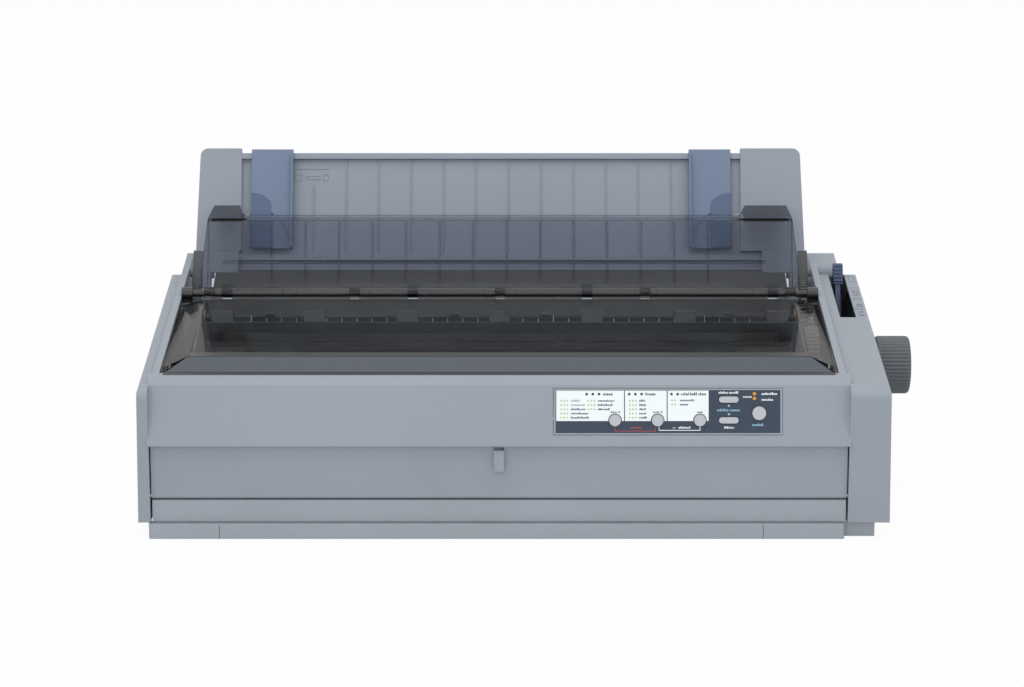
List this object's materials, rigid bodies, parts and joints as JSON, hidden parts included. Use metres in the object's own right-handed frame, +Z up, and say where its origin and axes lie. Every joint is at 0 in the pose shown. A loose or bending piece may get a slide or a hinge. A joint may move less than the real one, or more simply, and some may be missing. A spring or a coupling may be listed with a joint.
{
  "type": "dot matrix printer",
  "caption": "Wide desktop dot matrix printer with hinged smoked covers, tilting sheet guide, push tractors and moving print carriage.",
  "frame": {"origin": "middle of the footprint, on the table", "axes": "+X to the viewer's right, +Y to the rear, +Z up; the operator stands on the -Y side"},
  "size_m": [0.639, 0.402, 0.256],
  "materials": {
    "case_grey": "fine-textured cool grey",
    "guide_grey": "fine-textured cool grey",
    "smoked": "smoked transparent plastic",
    "blue": "matte grey blue",
    "overlay": "printed film",
    "button_grey": "satin",
    "board": "circuit board",
    "sheet_steel": "zinc-plated sheet",
    "turned_steel": "ground",
    "rod_black": "black",
    "bush_brass": "satin",
    "platen_rubber": "matte",
    "knob_dark": "satin dark grey",
    "gear_white": "natural acetal",
    "motor_grey": "satin",
    "inner_plastic": "dark grey moulding",
    "head_metal": "black anodised",
    "belt_rubber": "matte",
    "ribbon_cloth": "inked nylon"
  },
  "bodies": {
    "case": {"upper_case": "case_grey", "lower_case": "case_grey", "rubber_feet": "platen_rubber", "case_screws": "turned_steel", "front_hinge_pins": "turned_steel", "cover_hinge_rod": "rod_black", "control_panel": "case_grey", "panel_overlay": "overlay", "panel_board": "board", "side_frame_left": "sheet_steel", "side_frame_right": "sheet_steel", "frame_ties": "sheet_steel", "chassis_plate": "sheet_steel", "shaft_bushes": "bush_brass", "feed_motor": "motor_grey", "tension_unit": "inner_plastic", "paper_path": "sheet_steel", "carriage_rails": "turned_steel", "carriage_motor": "motor_grey", "carriage_belt": "belt_rubber", "ribbon_cartridge": "inner_plastic", "ribbon": "ribbon_cloth", "main_board": "board", "power_supply": "sheet_steel", "power_inlet": "inner_plastic", "power_switch": "inner_plastic", "slot_cover": "case_grey"},
    "front_cover": {"front_cover": "case_grey"},
    "printer_cover": {"printer_cover": "smoked"},
    "output_flap": {"output_flap": "smoked"},
    "sheet_guide": {"sheet_guide": "guide_grey"},
    "edge_guide_left": {"edge_guide_left": "blue"},
    "edge_guide_right": {"edge_guide_right": "blue"},
    "font_button": {"font_button": "button_grey"},
    "pitch_button": {"pitch_button": "button_grey"},
    "tear_off_button": {"tear_off_button": "button_grey"},
    "load_button": {"load_button": "button_grey"},
    "line_feed_button": {"line_feed_button": "button_grey"},
    "pause_button": {"pause_button": "button_grey"},
    "platen": {"platen": "platen_rubber", "platen_shaft": "turned_steel", "platen_knob": "knob_dark", "platen_gear": "gear_white"},
    "feed_gear_front": {"feed_gear_front": "gear_white"},
    "feed_gear_rear": {"feed_gear_rear": "gear_white"},
    "feed_motor_pinion": {"feed_motor_pinion": "bush_brass"},
    "roller_idler": {"roller_idler": "gear_white"},
    "tension_rollers": {"tension_rollers": "inner_plastic"},
    "tractor_drive_shaft": {"tractor_drive_shaft": "gear_white"},
    "tractor_left": {"tractor_left": "inner_plastic"},
    "tractor_right": {"tractor_right": "inner_plastic"},
    "tractor_door_left": {"tractor_door_left": "inner_plastic"},
    "tractor_door_right": {"tractor_door_right": "inner_plastic"},
    "carriage": {"carriage": "inner_plastic", "print_head": "head_metal"},
    "drive_pulley": {"drive_pulley": "gear_white"},
    "idler_pulley": {"idler_pulley": "gear_white"},
    "ribbon_knob": {"ribbon_knob": "inner_plastic"},
    "release_lever": {"release_lever": "blue"},
    "switch_rocker": {"switch_rocker": "inner_plastic"}
  },
  "joints": [
    {"name": "front_cover_hinge", "type": "hinge", "parent": "case", "child": "front_cover", "pos_m": [-0.0275, -0.1925, 0.0357], "axis": [1, 0, 0], "range_deg": [0, 90]},
    {"name": "printer_cover_hinge", "type": "hinge", "parent": "case", "child": "printer_cover", "pos_m": [-0.0275, 0.018, 0.15261], "axis": [1, 0, 0], "range_deg": [-80, 0]},
    {"name": "output_flap_hinge", "type": "hinge", "parent": "case", "child": "output_flap", "pos_m": [-0.0275, 0.018, 0.15261], "axis": [1, 0, 0], "range_deg": [0, 100]},
    {"name": "sheet_guide_tilt", "type": "hinge", "parent": "case", "child": "sheet_guide", "pos_m": [-0.0275, 0.096, 0.152], "axis": [1, 0, 0], "range_deg": [-62, 0]},
    {"name": "edge_guide_left_slide", "type": "slide", "parent": "sheet_guide", "child": "edge_guide_left", "axis": [1, 0, 0], "range_m": [-0.007, 0.12]},
    {"name": "edge_guide_right_slide", "type": "slide", "parent": "sheet_guide", "child": "edge_guide_right", "axis": [1, 0, 0], "range_m": [-0.12, 0.007]},
    {"name": "font_press", "type": "slide", "parent": "case", "child": "font_button", "axis": [0, 0.9606, -0.2779], "range_m": [0, 0.001], "stiffness_N_per_m": 600, "springref_m": -0.0003},
    {"name": "pitch_press", "type": "slide", "parent": "case", "child": "pitch_button", "axis": [0, 0.9606, -0.2779], "range_m": [0, 0.001], "stiffness_N_per_m": 600, "springref_m": -0.0003},
    {"name": "tear_off_press", "type": "slide", "parent": "case", "child": "tear_off_button", "axis": [0, 0.9606, -0.2779], "range_m": [0, 0.001], "stiffness_N_per_m": 600, "springref_m": -0.0003},
    {"name": "load_press", "type": "slide", "parent": "case", "child": "load_button", "axis": [0, 0.9606, -0.2779], "range_m": [0, 0.001], "stiffness_N_per_m": 600, "springref_m": -0.0003},
    {"name": "line_feed_press", "type": "slide", "parent": "case", "child": "line_feed_button", "axis": [0, 0.9606, -0.2779], "range_m": [0, 0.001], "stiffness_N_per_m": 600, "springref_m": -0.0003},
    {"name": "pause_press", "type": "slide", "parent": "case", "child": "pause_button", "axis": [0, 0.9606, -0.2779], "range_m": [0, 0.001], "stiffness_N_per_m": 600, "springref_m": -0.0003},
    {"name": "platen_turn", "type": "hinge", "parent": "case", "child": "platen", "pos_m": [-0.0275, -0.038, 0.104], "axis": [1, 0, 0], "continuous": true},
    {"name": "feed_gear_front_turn", "type": "hinge", "parent": "case", "child": "feed_gear_front", "pos_m": [-0.0275, 0.02493, 0.10895], "axis": [1, 0, 0], "continuous": true},
    {"name": "feed_gear_rear_turn", "type": "hinge", "parent": "case", "child": "feed_gear_rear", "pos_m": [-0.0275, 0.09098, 0.11415], "axis": [1, 0, 0], "continuous": true},
    {"name": "feed_motor_pinion_turn", "type": "hinge", "parent": "case", "child": "feed_motor_pinion", "pos_m": [-0.0275, -0.05675, 0.07152], "axis": [1, 0, 0], "continuous": true},
    {"name": "roller_idler_turn", "type": "hinge", "parent": "case", "child": "roller_idler", "pos_m": [-0.0275, 0.00402, 0.11037], "axis": [1, 0, 0], "continuous": true},
    {"name": "tension_rollers_turn", "type": "hinge", "parent": "case", "child": "tension_rollers", "pos_m": [-0.0275, 0.0075, 0.1326], "axis": [1, 0, 0], "continuous": true},
    {"name": "tractor_drive_turn", "type": "hinge", "parent": "case", "child": "tractor_drive_shaft", "pos_m": [-0.0275, 0.13895, 0.11793], "axis": [1, 0, 0], "continuous": true},
    {"name": "tractor_left_slide", "type": "slide", "parent": "case", "child": "tractor_left", "axis": [1, 0, 0], "range_m": [-0.07, 0.06]},
    {"name": "tractor_right_slide", "type": "slide", "parent": "case", "child": "tractor_right", "axis": [1, 0, 0], "range_m": [-0.06, 0.07]},
    {"name": "tractor_door_left_hinge", "type": "hinge", "parent": "tractor_left", "child": "tractor_door_left", "pos_m": [-0.19, 0.15095, 0.13353], "axis": [0, -1, 0], "range_deg": [0, 100]},
    {"name": "tractor_door_right_hinge", "type": "hinge", "parent": "tractor_right", "child": "tractor_door_right", "pos_m": [0.135, 0.15095, 0.13353], "axis": [0, 1, 0], "range_deg": [0, 100]},
    {"name": "carriage_travel", "type": "slide", "parent": "case", "child": "carriage", "axis": [1, 0, 0], "range_m": [-0.178, 0.178]},
    {"name": "drive_pulley_turn", "type": "hinge", "parent": "case", "child": "drive_pulley", "pos_m": [-0.2555, -0.101, 0.048], "axis": [0, 0, 1], "range_deg": [-1293, 1293]},
    {"name": "idler_pulley_turn", "type": "hinge", "parent": "case", "child": "idler_pulley", "pos_m": [0.2005, -0.101, 0.048], "axis": [0, 0, 1], "range_deg": [-1293, 1293]},
    {"name": "ribbon_knob_turn", "type": "hinge", "parent": "case", "child": "ribbon_knob", "pos_m": [-0.2325, -0.145, 0.12], "axis": [0, 0, 1], "continuous": true},
    {"name": "release_lever_swing", "type": "hinge", "parent": "case", "child": "release_lever", "pos_m": [0.2695, 0.031, 0.06], "axis": [1, 0, 0], "range_deg": [0, 52]},
    {"name": "power_rocker", "type": "hinge", "parent": "case", "child": "switch_rocker", "pos_m": [-0.3135, -0.148, 0.041], "axis": [0, 0, 1], "range_deg": [0, 14]}
  ],
  "couplings": [
    {"joint": "feed_gear_front_turn", "follows": "platen_turn", "ratio": -0.90566},
    {"joint": "feed_gear_rear_turn", "follows": "platen_turn", "ratio": 0.90566},
    {"joint": "tractor_drive_turn", "follows": "platen_turn", "ratio": -2},
    {"joint": "feed_motor_pinion_turn", "follows": "platen_turn", "ratio": -4},
    {"joint": "roller_idler_turn", "follows": "platen_turn", "ratio": -2.4},
    {"joint": "tension_rollers_turn", "follows": "platen_turn", "ratio": 3},
    {"joint": "drive_pulley_turn", "follows": "carriage_travel", "rad_per_m": 126.58},
    {"joint": "idler_pulley_turn", "follows": "carriage_travel", "rad_per_m": 126.58}
  ]
}
